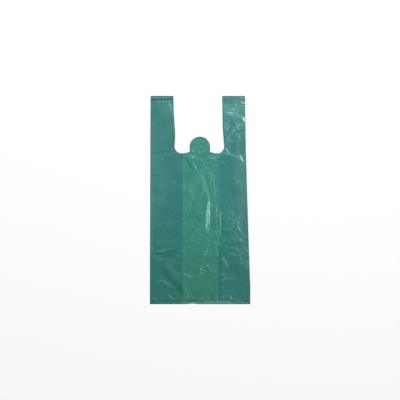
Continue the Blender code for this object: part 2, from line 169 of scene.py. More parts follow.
# creases of the front panel in millimetres: height, width of the flank that faces up or right,
# width of the other flank, then x, y, x, y along the ridge from its upper or left end
creases = (
    # middle panel
    (0.5, 1.7, 2.6, (-19, 102, -15, 92, -10, 80, -3, 70)), (0.22, 1.3, 1.9, (3, 103, 8, 94, 12, 84, 15, 75)),
    (0.15, 4.3, 4, (-1, 69, 6, 56, 10, 41, 12, 26)), (0.1, 3.6, 4.3, (12, 32, 17, 21, 22, 10, 24, -2)),
    (0.95, 7.2, 4.8, (24, 3, 21, -15, 19, -33, 17, -56, 17, -76, 18, -92)),
    (0.25, 2.4, 4, (19, -92, 22, -107, 20, -127)), (0.18, 1.3, 1.8, (36, 66, 37, 31, 37, -5)),
    (0.16, 1.3, 1.8, (41, -5, 42, -51, 42, -102, 43, -142)), (0.55, 1.4, 1.6, (51, -23, 52, -56, 52, -92)),
    (0.5, 2.2, 3.2, (-38, 110, -32, 101, -25, 88)), (0.4, 1.8, 2.8, (-9, -41, -4, -48, 2, -54)),
    (0.26, 2.2, 2.8, (32, -103, 46, -114)), (0.4, 1.6, 2.1, (13, -131, 20, -129)),
    (0.5, 1.7, 2.4, (-1, -174, 6, -179)), (0.3, 2.2, 2.9, (15, -165, 25, -172)),
    (0.45, 1.7, 2.4, (1, -182, 8, -189)), (0.28, 3.6, 4, (-42, -186, -35, -190, -28, -197)),
    (0.28, 3.6, 4, (-32, -185, -24, -192, -14, -198)), (0.28, 3.6, 4, (-40, -220, -35, -229, -29, -248)),
    (0.18, 3.3, 4, (-25, -228, -22, -239, -15, -252)), (0.3, 2.9, 4, (-1, -216, 3, -229, 2, -247)),
    (0.3, 2.6, 3.7, (27, -214, 33, -226, 37, -242)), (0.2, 2.3, 3.2, (-28, 118, -13, 113, -3, 108)),
    (0.2, 2, 2.9, (20, 116, 30, 109, 46, 106)), (0.22, 1.9, 2.6, (-42, 116, -34, 107, -31, 94)),
    # tab
    (0.23, 2.3, 3.2, (-22, 147, -4, 150, 19, 146)), (0.2, 2.2, 2.9, (-18, 130, -1, 133, 14, 130)),
    (0.16, 2.2, 2.9, (-23, 127, -14, 123, 0, 121, 19, 125)), (0.18, 2.2, 2.9, (-11, 158, -1, 141, 1, 127)),
    # left handle and side
    (0.8, 2.4, 3.2, (-85, 251, -77, 244, -74, 237, -74, 228)),
    (0.5, 1.9, 2.6, (-93, 251, -88, 243, -85, 232)),
    (-0.26, 2.2, 2.4, (-107, 122, -92, 122, -76, 122, -62, 120)),
    (0.2, 3.6, 4.8, (-121, 130, -104, 127, -84, 128, -67, 126)), (0.5, 5, 5.6, (-122, 69, -109, 65, -95, 67)),
    (0.3, 5, 4.8, (-125, -134, -112, -134, -98, -135, -82, -131, -64, -128)),
    (0.26, 2.9, 3.7, (-65, -136, -57, -141, -47, -144)),
    (-0.28, 4.3, 4.8, (-120, -149, -99, -147, -76, -147, -56, -155)),
    (0.16, 5.8, 6.4, (-106, -203, -89, -209, -78, -217, -64, -228, -48, -242)),
    (0.24, 6.5, 6.4, (-94, -164, -79, -178, -62, -198, -50, -219)),
    (0.36, 2.3, 3.2, (-84, -240, -75, -248, -64, -257)),
    (0.36, 2.3, 3.2, (-121, -244, -115, -251, -108, -259)),
    (0.3, 2.4, 3.5, (-103, -220, -97, -231, -88, -242)),
    # right handle
    (0.6, 1.7, 2.2, (101, 250, 107, 248, 114, 244)), (0.5, 1.6, 2.1, (87, 248, 92, 243, 95, 237)),
    (0.5, 1.6, 2.1, (79, 235, 84, 231, 88, 225)),
    (0.4, 2.9, 4, (60, 224, 74, 221, 92, 219, 104, 213, 114, 204)),
    (-0.2, 2.2, 3.2, (70, 213, 84, 209, 99, 205, 109, 197)), (0.45, 2.2, 3.2, (108, 213, 112, 200)),
    (0.5, 3.6, 4, (60, 197, 70, 189, 77, 181)), (-0.5, 1.9, 2.1, (80, 188, 73, 177, 65, 161)),
    (0.45, 2, 2.9, (85, 183, 114, 196)), (0.18, 1.7, 2.4, (90, 170, 106, 153)),
    (0.35, 1.9, 2.6, (66, 156, 81, 145)), (-0.6, 1.7, 1.9, (76, 168, 92, 173, 114, 180)),
    (0.4, 2.2, 2.9, (63, 135, 75, 118)), (0.1, 1.9, 2.6, (90, 137, 103, 114)),
    # right root and side, the foot, and one fold across the middle
    (0.26, 3, 4, (53, 121, 66, 117, 80, 114, 92, 111, 102, 107, 109, 99, 114, 89)),
    (0.1, 2.4, 3.5, (60, 110, 75, 104, 89, 100, 100, 92, 109, 79)),
    (0.26, 2.4, 3.5, (101, 116, 104, 111, 109, 102)), (0.36, 2.9, 4, (50, 102, 59, 93, 70, 81)),
    (0.07, 3.2, 4.3, (76, 87, 90, 74, 103, 55)), (0.27, 2.6, 3.7, (62, 36, 72, 19, 77, 0)),
    (0.1, 2.9, 4, (92, -10, 98, -30, 108, -48)), (0.22, 2.9, 4, (93, -61, 98, -71, 104, -82)),
    (0.2, 3.2, 4, (104, -81, 112, -89, 121, -97)), (0.12, 4.3, 5.1, (100, -98, 107, -110, 115, -124)),
    (0.3, 3.2, 4, (114, -121, 118, -127, 122, -134)),
    (0.34, 3.3, 4.5, (71, -134, 81, -137, 93, -141, 107, -139, 122, -139)),
    (0.26, 3.3, 4.5, (89, -154, 99, -158, 111, -161)),
    (0.15, 3.9, 4.5, (55, -145, 62, -150, 66, -159, 70, -170)),
    (-0.5, 2.4, 2.7, (74, -119, 82, -118, 90, -113)), (0.36, 3.2, 4.3, (113, -151, 118, -155, 124, -160)),
    (0.36, 2.4, 3.4, (54, -185, 64, -191)), (0.3, 3.3, 4.3, (56, -205, 70, -198, 89, -205)),
    (0.4, 1.9, 2.7, (57, -220, 60, -225)), (0.32, 3.2, 4, (74, -241, 78, -247, 82, -253)),
    (0.4, 2, 2.9, (63, -240, 59, -245, 62, -250)), (0.36, 1.9, 2.6, (42, -243, 47, -254)),
    (0.16, 2.9, 3.8, (88, -248, 93, -252, 99, -256)), (0.3, 3.5, 4.5, (98, -214, 108, -227, 118, -238)),
    (0.5, 1.7, 2.4, (19, -246, 24, -250, 28, -255)), (0.5, 1.7, 2.4, (2, -248, 6, -252, 13, -255)),
    (0.1, 3.6, 4.8, (-37, 38, -27, 27, -19, 17, -9, -10, -1, -36)),
)

# marks on the film in millimetres: strength, half width, then x, y, x, y along the line. Above 0 the film
# is paler, partly stretched pale and partly a painted highlight; below 0 it is darker, partly pressed close
# and partly painted shade
marks = (
    # streak, and the stitches under the tab
    (0.3, 1.4, (20, 9, 22, 3, 24, -2)), (0.16, 0.7, (19, -15, 17, -33, 16, -56)),
    (0.18, 0.6, (23, -4, 24, -15, 24, -30, 25, -43, 24, -58)),
    (0.44, 0.7, (16, -61, 16, -74, 17, -80, 21, -84)), (-0.3, 0.5, (21, -64, 20, -71, 19, -77)),
    (0.4, 0.6, (-18, 100, -15, 90)), (0.85, 0.7, (-14, 89, -10, 80)), (0.3, 0.6, (-8, 77, -3, 69)),
    (0.8, 0.8, (2, 104, 5, 100)), (0.14, 0.6, (7, 99, 11, 89, 15, 79)),
    (0.08, 1.2, (6, 62, 10, 48, 11, 33, 10, 20)), (0.1, 1.6, (14, 27, 19, 17, 23, 5, 24, -1)),
    (0.12, 0.9, (36, 66, 37, 31, 37, -5)), (0.2, 0.6, (42, -5, 42, -51, 41, -102)),
    (0.55, 0.6, (52, -23, 52, -56, 52, -94)), (-0.6, 1.1, (-8, -43, -3, -48, 1, -53)),
    (0.12, 1.2, (21, -95, 21, -112, 19, -127)),
    # low in the middle
    (0.62, 0.9, (13, -131, 20, -129)), (0.62, 1, (-1, -174, 6, -179)), (0.36, 0.9, (16, -165, 24, -172)),
    (0.1, 2.4, (-41, -187, -31, -191, -18, -196)), (0.16, 1.1, (-34, -185, -28, -190, -25, -195)),
    (0.15, 2, (-40, -220, -35, -229, -29, -248)), (0.08, 1, (-25, -228, -22, -239, -15, -252)),
    # tab and lip
    (0.7, 1.1, (-20, 129, -18, 124)), (0.65, 1, (-3, 122, 1, 119)),
    (0.14, 1.4, (-28, 115, -15, 110, -3, 106)), (-0.38, 1.2, (-38, 108, -32, 100, -26, 90, -20, 79)),
    # left handle, and ticks below both top welds
    (0.42, 1.1, (-80, 254, -79, 247, -75, 242, -77, 237, -73, 233, -69, 230)),
    (0.35, 0.9, (-77, 245, -75, 240)), (0.4, 0.9, (-103, 254, -103, 247)),
    (0.34, 0.9, (-110, 254, -109, 249)), (0.36, 0.9, (-94, 254, -94, 248)), (0.36, 0.9, (-86, 254, -85, 246)),
    (0.36, 0.9, (75, 254, 75, 247)), (0.36, 0.9, (84, 254, 85, 248)),
    (-0.45, 1.1, (-69, 262, -68, 234, -65, 199, -64, 168, -66, 135)),
    (-0.55, 1, (-106, 122, -94, 122, -74, 121)),
    # right handle
    (1, 1, (104, 250, 109, 247, 114, 245)), (0.4, 1, (90, 246, 94, 242)), (0.55, 1, (82, 232, 86, 229)),
    (-0.1, 1.2, (70, 214, 81, 211, 94, 208, 104, 203)), (0.5, 1, (68, 223, 74, 220, 79, 216)),
    (0.78, 1.1, (110, 210, 113, 200)), (-0.32, 1.2, (81, 185, 73, 172, 64, 158)),
    (-0.62, 1, (83, 171, 97, 175, 114, 180)), (0.26, 0.9, (86, 184, 114, 196)),
    (0.26, 0.6, (92, 167, 106, 153)), (0.4, 0.9, (75, 169, 84, 174, 92, 177)),
    (0.28, 0.8, (68, 155, 80, 146)),
    # right root and side
    (0.16, 1.4, (89, 138, 94, 125, 102, 112)), (0.22, 0.9, (57, 120, 69, 118, 81, 115, 93, 110, 101, 107)),
    (0.56, 0.9, (103, 114, 106, 106, 111, 98)), (0.35, 1.1, (50, 119, 58, 121)),
    (0.3, 1.4, (94, -64, 98, -71, 103, -81)), (0.12, 1.4, (104, -81, 112, -89, 121, -97)),
    (0.1, 3, (101, -99, 107, -110, 115, -123)), (0.3, 1.6, (114, -122, 122, -132)),
    (0.16, 1.4, (72, -135, 81, -137, 92, -141)), (0.12, 1.6, (94, -140, 107, -139, 122, -140)),
    (0.13, 1.6, (90, -154, 99, -158, 110, -160)), (0.16, 1.3, (56, -146, 62, -151, 66, -159, 69, -169)),
    (-0.22, 1.6, (57, -154, 61, -160, 65, -167)), (0.3, 1, (55, -186, 63, -191)),
    # low on the right, and along the foot
    (0.4, 0.9, (57, -221, 60, -223)), (0.11, 2, (84, -121, 93, -126, 101, -130)),
    (0.4, 1.6, (76, -244, 79, -249, 81, -253)), (0.3, 1, (63, -240, 59, -245, 62, -250)),
    (0.24, 1, (43, -244, 46, -254)), (0.8, 0.8, (21, -249, 24, -251)), (0.3, 0.8, (4, -251, 8, -254)),
    # low on the left
    (0.05, 2.4, (-118, -141, -107, -142, -98, -141)),
    (-0.44, 1.1, (-121, -134, -110, -136, -98, -135, -81, -131, -64, -128, -57, -133)),
    (-0.1, 6, (-87, -144, -71, -142, -59, -148)), (0.2, 1, (-64, -138, -56, -141, -48, -144)),
    (0.11, 3, (-104, -205, -90, -208, -80, -215, -72, -221)),
    (-0.17, 5.5, (-95, -176, -82, -192, -66, -211, -48, -235)), (0.05, 5, (-89, -158, -71, -177, -55, -201)),
    (0.26, 1.1, (-81, -241, -64, -255)), (0.24, 1.1, (-120, -247, -110, -257)),
    # middle, and low on both sides
    (-0.3, 1.2, (-20, -255, -14, -256)), (0.6, 0.9, (10, -140, 17, -136)), (0.6, 1, (1, -182, 8, -189)),
    (0.32, 1, (8, -177, 15, -180)), (0.26, 1, (32, -103, 46, -114)),
    (0.22, 0.9, (42, -118, 43, -127, 42, -137)), (-0.2, 1.1, (74, -119, 82, -118, 90, -113)),
    (0.16, 1.6, (114, -152, 124, -160)), (0.09, 1.6, (56, -205, 70, -198, 89, -205)),
    (0.1, 1.2, (88, -248, 93, -252, 99, -255)), (-0.22, 0.9, (-100, -170, -90, -180)),
    # finer lines of the streak, the inner fold, the tab and the lip
    (-0.14, 0.8, (21, -28, 20, -43, 20, -58)), (0.2, 0.5, (24, -41, 24, -59)),
    (-0.6, 1, (51, -117, 51, -158, 51, -204, 51, -252)), (0.1, 1, (-18, 144, -8, 147, 5, 148, 18, 144)),
    (0.12, 1, (-19, 134, -8, 137, 2, 134, 15, 136)), (-0.1, 1, (-15, 140, -3, 142, 13, 140)),
    (0.12, 1.2, (-117, -129, -102, -130, -87, -126, -69, -123)), (-0.34, 0.8, (-5, 118, 5, 116, 18, 119)),
    (0.24, 1.2, (21, 111, 28, 106, 41, 106)), (0.8, 1, (51, 120, 53, 116)),
    # faint lines across the middle
    (0.06, 1.1, (14, -161, 28, -178, 43, -198)), (0.05, 1.1, (24, -163, 43, -186)),
    (0.08, 1.1, (2, -201, 15, -221)), (-0.1, 1.3, (19, -174, 34, -196)),
    (0.07, 1.3, (-36, 43, -26, 26, -10, 3)), (-0.07, 1.6, (-41, 26, -26, 5, -8, -23)),
    (-0.08, 1.2, (-15, -56, 5, -74, 25, -92)), (-0.1, 1.1, (17, -85, 31, -92, 46, -101)),
    # low on both sides
    (-0.12, 1.4, (53, -78, 69, -80, 81, -87)), (-0.14, 1.2, (71, -149, 86, -150, 104, -153)),
    (-0.12, 1.4, (56, -175, 74, -183, 97, -194)), (0.1, 1.4, (61, -231, 71, -235, 86, -232)),
    (0.07, 1.8, (-82, -169, -64, -182, -48, -188)), (-0.09, 1.4, (-123, -158, -107, -161, -87, -158)),
    (-0.09, 1.4, (-120, -216, -104, -228, -92, -243)),
    # small ends, spots and edges
    (0.6, 0.7, (24, -57, 23, -69, 22, -79)), (0.34, 0.9, (18, -82, 21, -84, 23, -88)),
    (0.45, 0.5, (52, -44, 52, -56, 52, -66)), (-0.1, 2.2, (-27, 94, -22, 82)),
    (0.75, 1.1, (-21, 110, -17, 107)), (0.16, 0.7, (2, 81, 6, 71, 12, 62)),
    (0.1, 1.6, (-35, 37, -27, 27, -20, 19)), (0.05, 2, (-20, 19, -10, -8, 0, -38)),
    (-0.3, 1.2, (100, 245, 107, 243, 113, 242)), (0.26, 0.7, (98, 240, 105, 240, 113, 239)),
    (0.26, 1.3, (73, -240, 76, -241)), (0.85, 1, (43, -258, 46, -259)), (0.7, 1, (53, -259, 56, -261)),
    (0.35, 0.9, (99, -260, 101, -262)), (0.3, 0.9, (79, -260, 81, -262)),
    (0.14, 1.8, (-123, -117, -121, -128)), (0.1, 0.7, (-3, 69, 5, 56)),
    (0.1, 1.8, (24, 70, 28, 58, 34, 47, 34, 29)), (-0.34, 1, (58, 252, 58, 224, 59, 194, 62, 163, 63, 138)),
    (0.16, 0.9, (28, 119, 38, 118, 48, 120)), (0.3, 0.8, (-19, -245, -16, -252)),
    (-0.4, 1.2, (113, -263, 127, -263)), (-0.3, 0.9, (-28, -255, -18, -254, -8, -255)),
)

# painted light and shade on facets of the film, in millimetres: strength, above 0 a painted highlight and
# below 0 painted shade, softness of the border, then x, y, x, y round the corners, or the left, top, right
# and bottom of a rectangle
paintedLightPanes = (
    # streak and right handle
    (0.57, 1.2, (21, -1, 23, -3, 26, -1, 26, -13, 26, -30, 26, -46, 25, -56, 24, -60, 21, -59, 19, -63,
     17, -71, 16, -77, 15, -71, 15, -51, 15, -37, 17, -27, 18, -14)),
    (0.17, 1.8, (60, 225, 71, 224, 84, 223, 98, 220, 111, 214, 115, 209, 115, 198, 110, 200, 103, 207,
     92, 211, 79, 213, 70, 217)),
    (0.42, 1.4, (107, 213, 115, 210, 115, 198, 110, 201)),
    (0.05, 2, (85, 184, 92, 193, 103, 195, 115, 199, 115, 191, 105, 186, 94, 180)),
    (0.15, 2.2, (60, 199, 68, 197, 74, 189, 78, 182, 71, 179, 65, 174, 60, 183)),
    (0.06, 2, (75, 170, 85, 177, 101, 181, 114, 184, 114, 178, 98, 175, 85, 170)),
    (0.04, 3, (73, 168, 92, 170, 106, 155, 95, 148, 76, 152, 69, 159)),
    (-0.12, 3, (74, 143, 92, 147, 115, 149, 115, 118, 102, 116, 85, 123, 75, 131)),
    (-0.05, 2.6, (74, 207, 92, 205, 105, 202, 95, 196, 83, 188, 76, 193)),
    # right root
    (0.42, 1.4, (63, 133, 70, 131, 73, 124, 76, 117, 70, 120, 65, 126)),
    (0.07, 1.5, (56, 121, 69, 120, 81, 117, 93, 112, 102, 110, 107, 105, 113, 98, 116, 92, 109, 96, 103, 101,
     94, 104, 81, 108, 69, 112, 59, 116)),
    (0.46, 1.3, (100, 114, 104, 114, 108, 106, 111, 99, 106, 100, 101, 106)),
    # slopes between the folds
    (0.12, 3, (1, 67, 11, 58, 14, 41, 17, 28, 24, 13, 26, 0, 20, 1, 15, 17, 8, 23, 6, 43, 0, 59)),
    (0.08, 3, (92, -45, 96, -48, 84, -72, 76, -71)),
    (-0.11, 3.4, (54, -75, 76, -80, 92, -93, 74, -98, 55, -89)),
    (-0.12, 4, (76, -167, 94, -165, 117, -174, 118, -198, 97, -201, 78, -187)),
    (0.1, 4, (103, -148, 124, -158, 125, -183, 118, -173, 102, -162)),
    (0.06, 2.6, (-43, -183, -31, -183, -22, -189, -13, -196, -27, -200, -42, -197)),
    (-0.07, 4, (-99, -168, -87, -169, -43, -211, -43, -243, -62, -225, -88, -197)),
    (0.08, 2.6, (-37, 116, -10, 116, 3, 106, -9, 101, -26, 105, -35, 110)),
    (0.08, 2.6, (20, 115, 47, 116, 47, 105, 29, 105)),
    (0.14, 1.8, (55, -144, 62, -146, 68, -156, 73, -170, 66, -170, 58, -158)),
    (-0.07, 3.4, (71, -145, 92, -146, 102, -160, 92, -169, 75, -160)),
    # broad shades
    (-0.055, 24, (-41, -148, 53, -260)),
    (0.03, 3.2, (-42, -219, -33, -220, -26, -234, -23, -251, -36, -252, -41, -239)),
    (-0.06, 3, (-112, -135, -92, -134, -56, -134, -48, -138, -71, -144, -102, -144)),
    (-0.07, 5, (97, -135, 114, -135, 120, -168, 97, -163)),
    (0.03, 20, (0, 110, 41, 110, 41, 20, 15, 10, 10, -102, -26, -102, -26, 20)),
    (-0.09, 12, (-120, 247, -71, 223)),
    (0.05, 4, (-24, 122, -25, 138, -19, 151, -8, 159, 5, 159, 17, 153, 23, 140, 23, 122)),
    (0.035, 12, (64, 10, 107, 10, 109, -97, 64, -97)), (-0.015, 12, (92, 97, 109, 97, 112, 5, 92, 5)),
    (0.05, 3, (-128, 20, -118, -137)),
    (-0.14, 3, (-59, -206, -48, -214, -41, -226, -41, -244, -50, -239, -57, -221)),
    (-0.1, 4, (-94, -183, -76, -188, -74, -201, -92, -201)),
    (-0.1, 4, (-69, -158, -48, -163, -48, -178, -66, -176)), (-0.1, 4, (-18, -234, -3, -252)),
    (-0.12, 4, (23, -237, 37, -253)), (-0.1, 4, (-15, -173, -3, -188)),
    # welds and skirts
    (0.19, 1.4, (13, -256, 74, -261)), (0.08, 1.4, (-48, -256, 13, -261)), (0.11, 1.4, (74, -256, 109, -261)),
    (0.07, 1.2, (-36, -261, 81, -265)), (-0.3, 1.2, (-130, -262, -48, -266)),
    (-0.4, 1.2, (-130, 267, -67, 263)), (0.13, 1.2, (86, 264, 116, 261)), (0.16, 1.2, (84, 258, 110, 253)),
    (-0.04, 2, (-130, 253, -68, 244)), (-0.15, 2, (58, 253, 86, 244)),
)

# fine random creases: how many, left, right, low, high, then longest, highest, main direction, seed
scatter = (
    (46, -122, -62, -250, -20, 34, 0.20, 160, 21),
    (34, -122, -50, -10, 110, 26, 0.16, 10, 22),
    (16, -124, -70, 120, 250, 18, 0.16, 60, 23),
    (90, -42, 48, -250, -60, 22, 0.22, 120, 24),
    (60, -42, 48, -60, 110, 30, 0.26, 110, 25),
    (90, 52, 124, -250, -40, 24, 0.18, 150, 26),
    (40, 52, 118, -40, 110, 34, 0.10, 140, 27),
    (40, 62, 114, 108, 250, 18, 0.20, 20, 28),
)
scattered = dict(turn=42.0, bend=0.12, lengths=(0.25, 1.0), widths=(2.2, 5.4),
                 heights=(0.3, 1.0), flanks=(0.8, 1.6))


def rolling(x, y, length, seed, terms=5):
    # smooth random field of about -1 to 1
    draw = np.random.default_rng(seed)
    total = np.zeros_like(x)
    for _ in range(terms):
        angle = draw.uniform(0.0, math.pi)
        wave = length * draw.uniform(0.6, 1.7)
        along = x * math.cos(angle) + y * math.sin(angle)
        total += np.sin(2.0 * math.pi * along / wave + draw.uniform(0.0, 2.0 * math.pi))
    return total / math.sqrt(terms)


def smoothPath(points, pitch):
    # Catmull-Rom curve through the points
    points = list(points)
    ends = [2 * points[0] - points[1]] + points + [2 * points[-1] - points[-2]]
    path = []
    for before, start, end, after in zip(ends, ends[1:], ends[2:], ends[3:]):
        steps = max(1, math.ceil(np.linalg.norm(end - start) / pitch))
        for step in range(steps):
            t = step / steps
            bend = (2 * before - 5 * start + 4 * end - after) * t * t
            turn = (3 * start - before - 3 * end + after) * t * t * t
            path.append((2 * start + (end - before) * t + bend + turn) / 2)
    path.append(points[-1])
    return np.array(path)


def nearSegment(x, y, start, run):
    # share of the way along a straight piece, distance from it, and the offsets from its start
    dx, dy = x - start[0], y - start[1]
    share = np.clip((dx * run[0] + dy * run[1]) / (run @ run), 0.0, 1.0)
    return share, np.hypot(dx - share * run[0], dy - share * run[1]), dx, dy


def alongPath(x, y, points, reach):
    # for the points within reach of a line: their numbers, distance, side and share of the way along it
    path = smoothPath(np.reshape(points, (-1, 2)) * mm, 3.0 * mm)
    near = np.nonzero((x > path[:, 0].min() - reach) & (x < path[:, 0].max() + reach)
                      & (y > path[:, 1].min() - reach) & (y < path[:, 1].max() + reach))[0]
    px, py = x[near], y[near]
    best, side, place = np.full(len(near), far), np.zeros(len(near)), np.zeros(len(near))
    count = len(path) - 1
    for index in range(count):
        run = path[index + 1] - path[index]
        share, apart, dx, dy = nearSegment(px, py, path[index], run)
        closer = apart < best
        best = np.where(closer, apart, best)
        side = np.where(closer, run[0] * dy - run[1] * dx, side)
        place = np.where(closer, (index + share) / count, place)
    return near, best, side, place


def addCrease(x, y, height, tone, crease, ridge):
    rise, litWidth, farWidth, points = crease
    ridge = ridge * mm
    near, best, side, place = alongPath(x, y, points, max(litWidth, farWidth) * mm)
    fade = np.sin(math.pi * np.clip(place, 0.0, 1.0)) ** relief["creaseFade"]
    width = np.where(side > 0.0, litWidth, farWidth) * mm * np.maximum(fade, relief["leastWidth"])
    rounded = np.sqrt(best * best + ridge * ridge) - ridge * relief["ridgeSink"]
    profile = np.clip(1.0 - rounded / width, 0.0, 1.0) * fade
    height[near] += rise * mm * profile
    # the ridge turns pale: partly film whitened by the bend, partly a painted highlight
    tone[near] += relief["creasePaleAndHighlight"] * min(1.0, rise) * profile * (best < relief["paleReach"] * mm)


def addMark(x, y, tone, mark):
    strength, half, points = mark
    blur, least = relief["markBlur"], relief["markEnd"]
    near, best, _, place = alongPath(x, y, points, (half + relief["markReach"]) * mm)
    ends = np.clip(np.sin(math.pi * np.clip(place, 0.0, 1.0)) * relief["markTaper"], 0.0, 1.0)
    tone[near] += strength * (least + (1.0 - least) * ends) * ease(1.0 - (best / mm - half + blur / 2) / blur)


def addPaintedLightPane(x, y, tone, lightPane):
    # a painted highlight above 0 and painted shade below 0, fading in across the border
    strength, soft, corners = lightPane
    if len(corners) == 4:
        left, high, right, low = corners
        corners = (left, high, right, high, right, low, left, low)
    corners = np.reshape(corners, (-1, 2)) * mm
    inside = np.zeros(len(x), bool)
    nearest = np.full(len(x), far)
    for start, end in zip(corners, np.roll(corners, -1, axis=0)):
        run = end - start
        _, apart, dx, dy = nearSegment(x, y, start, run)
        nearest = np.minimum(nearest, apart)
        crossed = (start[1] > y) != (end[1] > y)
        inside ^= crossed & (dx < dy * (run[0] / run[1] if run[1] else 0.0))
    tone += strength * ease(0.5 + np.where(inside, nearest, -nearest) / (soft * mm))


def scatteredCreases(row):
    count, left, right, low, high, longest, highest, direction, seed = row
    draw = np.random.default_rng(seed)
    made = []
    for _ in range(count):
        x, y = draw.uniform(left, right), draw.uniform(low, high)
        angle = math.radians(direction + draw.normal(0.0, scattered["turn"]))
        length = longest * draw.uniform(*scattered["lengths"])
        bend = draw.normal(0.0, scattered["bend"]) * length
        across = np.array((math.cos(angle), math.sin(angle)))
        out = np.array((-across[1], across[0]))
        middle = np.array((x, y))
        points = [middle - across * length / 2, middle + out * bend, middle + across * length / 2]
        width = draw.uniform(*scattered["widths"])
        rise = highest * draw.uniform(*scattered["heights"]) * draw.choice((1.0, 1.0, -1.0))
        made.append((rise, width, width * draw.uniform(*scattered["flanks"]), points))
    return made


def pleats(x, y):
    inside = pastWeld(y)
    peak, end = relief["pleatPeak"], relief["pleatEnd"]
    strength = np.minimum(inside / peak, (end - inside) / (end - peak))
    drift = relief["pleatDrift"] * rolling(x, y * 0.2, 0.055, relief["pleatSeed"])
    pleat = np.abs((x / (relief["pleatLength"] * mm) + drift) % 1.0 - 0.5) * 2.0
    size = 0.45 + 0.55 * ease(0.5 + 0.7 * rolling(x, y * 0.1, 0.040, relief["pleatSizeSeed"]))
    skirt = ease(-inside / relief["skirtRun"]) * relief["skirtPleat"] * mm
    return (relief["pleatHeight"] * mm * np.maximum(0.0, strength) * size + skirt) * pleat


def swell(x, y):
    # soft rounding over each gusset and between them
    left, right, inLeft, inRight = leftEdge(y), rightEdge(y), leftFold(y), rightFold(y)

    def arch(first, last):
        return np.sin(math.pi * np.clip((x - first) / (last - first), 0.0, 1.0))

    inStrap = ease((y - lip) / bag["mouthCorner"] + 0.5)
    sides = lay["sideSwell"] * np.maximum(arch(left, inLeft), lay["rightSwell"] * arch(right, inRight))
    sides = sides * (1.0 + (lay["handleSwell"] - 1.0) * inStrap)
    return np.where((x < inLeft) | (x > inRight), sides, lay["centreSwell"] * arch(inLeft, inRight))


def facetSheet(x, y, areas, seed):
    # flat facets between sharp folds, as in film that was crumpled and smoothed out again
    draw = np.random.default_rng(seed)
    jitter = relief["facetJitter"]
    # a level border well outside the bag
    wide, tall = relief["facetBorder"]
    knots = [(float(px), py, 0.0) for px in np.linspace(-wide, wide, 7) for py in (-tall, tall)]
    knots += [(px, float(py), 0.0) for px in (-wide, wide) for py in np.linspace(50.0 - tall, tall - 50.0, 9)]
    for left, right, low, high, across, along, rise in areas:
        columns = max(1, round((right - left) / across))
        rows = max(1, round((high - low) / along))
        for row in range(rows):
            for column in range(columns):
                shift = column + 0.5 + 0.5 * (row % 2) + draw.uniform(-jitter, jitter)
                px = left + shift * (right - left) / columns
                py = low + (row + 0.5 + draw.uniform(-jitter, jitter)) * (high - low) / rows
                knots.append((px, py, rise * draw.uniform(0.0, 1.0)))
    plan = [Vector((px * mm, py * mm)) for px, py, _ in knots]
    made = delaunay_2d_cdt(plan, [], [], 0, 1e-7)
    corners = [(point.x, point.y, knots[origins[0]][2] * mm) for point, origins in zip(made[0], made[3])]
    sheet = BVHTree.FromPolygons(corners, made[2])
    hits = [sheet.ray_cast(Vector((px, py, far)), Vector((0.0, 0.0, -1.0)))[0] for px, py in zip(x, y)]
    return np.array([hit.z if hit else 0.0 for hit in hits])


def addWaves(x, y, height, turn=0.0, share=1.0):
    for rise, length, direction in relief["waves"]:
        angle = math.radians(direction + turn)
        along = x * math.cos(angle) + y * math.sin(angle)
        height += share * rise * mm * (1.0 + np.sin(2.0 * math.pi * along / (length * mm)))


def frontRelief(x, y):
    height, tone = np.zeros_like(x), np.zeros_like(x)
    # the tone sums whitened and pressed film with painted highlights and painted shade
    for crease in creases:
        addCrease(x, y, height, tone, crease, relief["ridge"])
    for mark in marks:
        addMark(x, y, tone, mark)
    for lightPane in paintedLightPanes:
        addPaintedLightPane(x, y, tone, lightPane)
    for row in scatter:
        for crease in scatteredCreases(row):
            addCrease(x, y, height, tone, crease, relief["fineRidge"])
    addWaves(x, y, height)
    height += (facetSheet(x, y, relief["broadFacets"], relief["broadSeed"])
               + facetSheet(x, y, relief["smallFacets"], relief["smallSeed"]))
    return height, tone


def frontLevel(x, y):
    # the front panel rests on the gussets and steps down between them
    pastFold = np.minimum(x - leftFold(y), rightFold(y) - x)
    down = ease((pastFold - 2 * foldRadius) / lay["stepRun"])
    lift = 3 * lay["layerLift"] + (lay["centreLift"] - 3 * lay["layerLift"]) * down
    inside = np.minimum(x - leftEdge(y), rightEdge(y) - x) - foldRadius
    margin = np.where(x < 0.0, lay["leftMargin"], lay["rightMargin"])
    hem = lay["hemShare"]
    nearEdge = hem * ease(inside / lay["hemRun"]) + (1.0 - hem) * ease(inside / margin)
    height, tone = frontRelief(x, y)
    opened = openness(y)
    total = pleats(x, y) + opened * height
    level = backLevel + fullness(y) * lift + opened * swell(x, y) + nearEdge * total
    floorLevel = layerLevel(y, 3) * (1.0 - down) + backLevel * down
    return np.where(inside <= 1e-7, layerLevel(y, 3), np.maximum(level, floorLevel)), tone


def backRelief(x, y):
    # the back panel lies on the floor, so its folds are shallow and stay under the gussets
    inside = np.minimum(x - leftEdge(y), rightEdge(y) - x) - foldRadius
    height = facetSheet(x, y, relief["backFacets"], relief["backSeed"])
    addWaves(x, y, height, relief["backTurn"], relief["backShare"])
    height = np.minimum(height, relief["backHighest"] * mm)
    return backLevel + openness(y) * ease(inside / lay["leftMargin"]) * height


